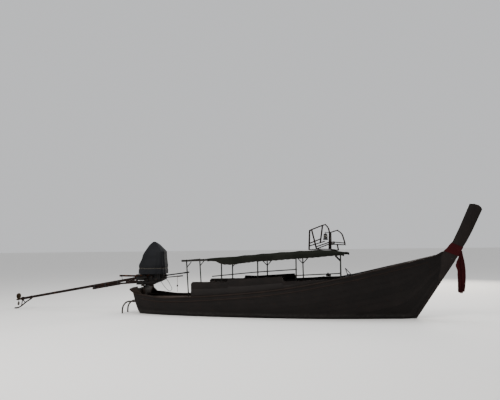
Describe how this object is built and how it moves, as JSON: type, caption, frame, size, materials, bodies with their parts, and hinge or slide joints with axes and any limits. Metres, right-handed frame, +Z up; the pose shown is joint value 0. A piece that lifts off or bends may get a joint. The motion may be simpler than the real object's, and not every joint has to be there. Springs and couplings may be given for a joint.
{
  "type": "longtail boat",
  "caption": "Wooden longtail passenger boat with a tall raked prow, an arched cloth canopy on posts, and a hooded engine on a pivot driving a propeller at the end of a long shaft.",
  "frame": {"origin": "amidships on the centreline at the waterline, on the mount waterline", "axes": "+X forward to the prow, +Y to port, +Z up"},
  "size_m": [16.3113, 1.94, 3.794],
  "materials": {
    "hull_paint": "satin",
    "timber": "satin",
    "deck_wood": "matte",
    "frame_paint": "satin",
    "painted_steel": "satin",
    "steel": "satin",
    "engine": "matte",
    "iron": "matte",
    "bronze": "satin",
    "canopy_cloth": "matte",
    "tarp": "matte",
    "sash": "matte",
    "rubber": "matte"
  },
  "bodies": {
    "hull": {"hull_planking": "hull_paint", "keel": "hull_paint", "stem_prow": "timber", "transom": "hull_paint", "stern_beam": "timber", "foredeck": "deck_wood", "aft_deck": "deck_wood", "sole": "deck_wood", "aft_bulkhead": "timber", "fore_bulkhead": "timber", "gunwale_port": "timber", "gunwale_starboard": "timber", "weatherboard_port": "hull_paint", "weatherboard_starboard": "hull_paint", "frames_port": "timber", "frames_starboard": "timber", "canopy_rail_port": "frame_paint", "canopy_rail_starboard": "frame_paint", "thwart_1": "deck_wood", "thwart_2": "deck_wood", "thwart_3": "deck_wood", "thwart_4": "deck_wood", "post_starboard_1": "frame_paint", "post_starboard_2": "frame_paint", "post_starboard_3": "frame_paint", "post_starboard_4": "frame_paint", "post_starboard_5": "frame_paint", "post_port_1": "frame_paint", "post_port_2": "frame_paint", "post_port_3": "frame_paint", "post_port_4": "frame_paint", "post_port_5": "frame_paint", "canopy_bows": "frame_paint", "canopy_cover": "canopy_cloth", "side_rail_aft": "timber", "side_rail_fore": "timber", "roof_ladder": "steel", "roof_post": "painted_steel", "stern_ladder": "steel", "anchor": "steel", "bitt_port": "timber", "prow_wrap": "sash", "prow_ribbon": "sash", "pivot_socket": "painted_steel"},
    "swivel": {"swivel_yoke": "painted_steel"},
    "engine": {"engine_bed": "painted_steel", "engine_block": "engine", "engine_cover": "tarp", "tiller_bar": "painted_steel", "throttle_lever": "painted_steel", "exhaust_pipe": "iron", "tail_tube": "painted_steel", "tail_stay": "painted_steel", "skeg": "painted_steel", "hose_loop": "rubber", "tie_rope": "sash"},
    "propeller": {"propeller": "bronze"}
  },
  "joints": [
    {"name": "steering", "type": "hinge", "parent": "hull", "child": "swivel", "pos_m": [-4.46, 0, 0.87], "axis": [0, 0, 1], "range_deg": [-40, 40]},
    {"name": "tilt", "type": "hinge", "parent": "swivel", "child": "engine", "pos_m": [-4.46, 0, 0.985], "axis": [0, 1, 0], "range_deg": [-8, 4]},
    {"name": "propeller_spin", "type": "hinge", "parent": "engine", "child": "propeller", "pos_m": [-9.69, 0, 0.354], "axis": [0.987, 0, 0.1609], "continuous": true}
  ]
}
